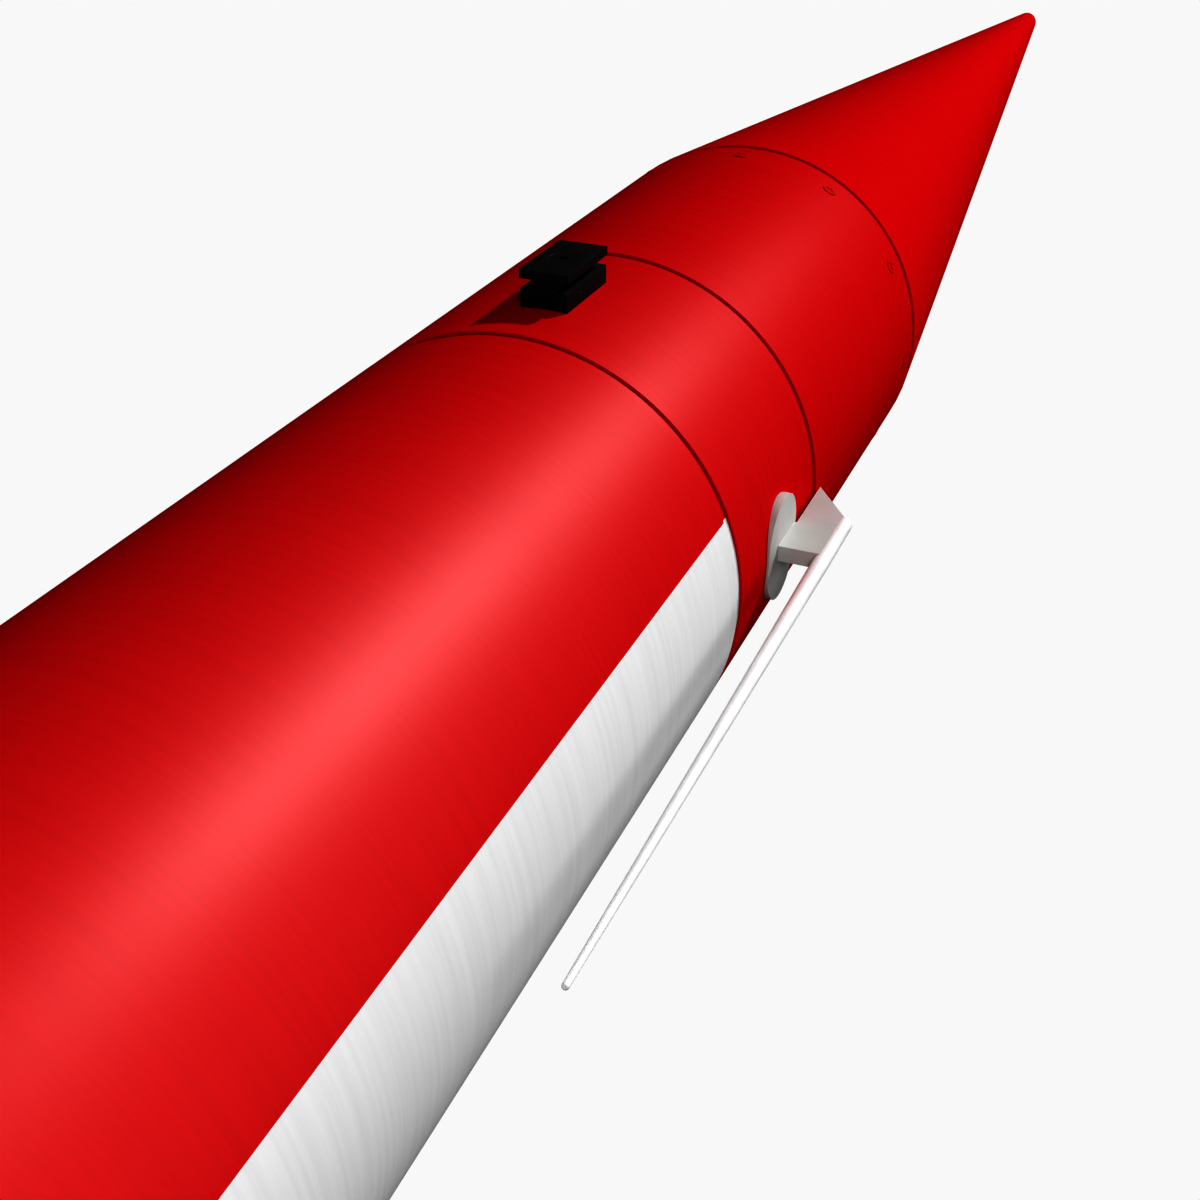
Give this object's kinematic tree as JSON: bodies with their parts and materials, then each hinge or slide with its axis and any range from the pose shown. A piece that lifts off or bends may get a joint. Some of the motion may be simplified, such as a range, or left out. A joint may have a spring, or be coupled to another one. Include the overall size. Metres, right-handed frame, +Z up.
{
  "type": "model rocket",
  "caption": "Slender dual-deployment model rocket with a long conical nose, banded avionics section, rail shoes, side antennas and swept fins.",
  "frame": {"origin": "on the rocket's axis, in the plane of the four fin feet that it stands on", "axes": "+Z up the rocket to its nose; the rail shoes are on the -Y side and the antennas on the +X and -X sides"},
  "size_m": [0.2142, 0.2142, 1.6094],
  "materials": {
    "red_airframe_paint": "satin red paint over fibreglass, faint lay-up streaks",
    "red_screw_paint": "satin red paint",
    "white_fin_paint": "satin white paint over fibreglass sheet",
    "bare_fibreglass": "bare woven glass and epoxy",
    "kraft_tube": "spiral-wound kraft tube",
    "birch_plywood": "raw birch plywood",
    "plated_steel": "zinc-plated steel",
    "black_screw": "black-oxide steel",
    "black_acetal": "moulded black acetal",
    "antenna_metal": "light grey satin paint",
    "antenna_whip": "white glass-fibre rod",
    "circuit_board": "green solder mask",
    "black_component": "moulded black",
    "green_terminal": "moulded green",
    "blue_wrap": "heat-shrink film",
    "black_webbing": "hook-and-loop webbing",
    "grey_case": "bead-blasted",
    "switch_brass": "turned brass",
    "white_pvc": "white plastic",
    "black_anodise": "black anodised",
    "motor_anodise": "blue anodised",
    "graphite": "machined graphite",
    "flame_cloth": "aramid cloth",
    "drogue_cloth": "aramid cloth"
  },
  "bodies": {
    "booster": {"booster_tube": "red_airframe_paint", "motor_mount_tube": "kraft_tube", "aft_centering_ring": "birch_plywood", "middle_centering_ring": "birch_plywood", "forward_centering_ring": "birch_plywood", "fin_1": "white_fin_paint", "fin_2": "white_fin_paint", "fin_3": "white_fin_paint", "fin_4": "white_fin_paint", "fin_fillets": "white_fin_paint", "aft_rail_shoe": "black_acetal", "aft_rail_shoe_screw": "black_screw", "booster_eyebolt": "plated_steel", "booster_eyebolt_nut": "plated_steel", "retainer_body": "black_anodise", "drogue_parachute": "drogue_cloth"},
    "avionics_bay": {"avionics_band": "red_airframe_paint", "avionics_coupler": "bare_fibreglass", "forward_bulkhead": "bare_fibreglass", "aft_bulkhead": "bare_fibreglass", "tie_rods": "plated_steel", "tie_rod_washers": "plated_steel", "bay_nuts": "plated_steel", "forward_u_bolt": "plated_steel", "aft_u_bolt": "plated_steel", "forward_charge_well": "white_pvc", "aft_charge_well": "white_pvc", "avionics_sled": "birch_plywood", "sled_guide_tubes": "kraft_tube", "battery": "blue_wrap", "battery_strap": "black_webbing", "altimeter_board": "circuit_board", "altimeter_components": "black_component", "board_standoffs": "white_pvc", "board_screws": "plated_steel", "terminal_blocks": "green_terminal", "tracking_transmitter": "grey_case", "switch_body": "black_component", "forward_rail_shoe": "black_acetal", "forward_rail_shoe_screw": "black_screw", "forward_shoe_nut": "plated_steel", "antenna_a_bracket": "antenna_metal", "antenna_b_bracket": "antenna_metal", "antenna_a_whip": "antenna_whip", "antenna_b_whip": "antenna_whip", "antenna_nuts": "plated_steel"},
    "arming_switch": {"switch_rotor": "switch_brass"},
    "nose_section": {"nose_cone": "red_airframe_paint", "nose_shoulder": "bare_fibreglass", "nose_tube": "red_airframe_paint", "nose_screws": "red_screw_paint", "nose_bulkhead": "birch_plywood", "nose_eyebolt": "plated_steel", "nose_eyebolt_nut": "plated_steel", "main_parachute": "flame_cloth"},
    "motor": {"motor_case": "motor_anodise", "forward_closure": "motor_anodise", "aft_closure": "motor_anodise", "motor_nozzle": "graphite"},
    "retainer_cap": {"retainer_cap": "black_anodise"}
  },
  "joints": [
    {"name": "booster_separation", "type": "slide", "parent": "booster", "child": "avionics_bay", "axis": [0, 0, 1], "range_m": [0, 0.13]},
    {"name": "nose_separation", "type": "slide", "parent": "avionics_bay", "child": "nose_section", "axis": [0, 0, 1], "range_m": [0, 0.07]},
    {"name": "arming_switch_turn", "type": "hinge", "parent": "avionics_bay", "child": "arming_switch", "pos_m": [0, 0.045, 0.97165], "axis": [0, 1, 0], "range_deg": [0, 90]},
    {"name": "motor_withdrawal", "type": "slide", "parent": "booster", "child": "motor", "axis": [0, 0, -1], "range_m": [0, 0.33]},
    {"name": "retainer_unscrew", "type": "hinge", "parent": "motor", "child": "retainer_cap", "pos_m": [0, 0, 0.03], "axis": [0, 0, 1], "continuous": true}
  ]
}
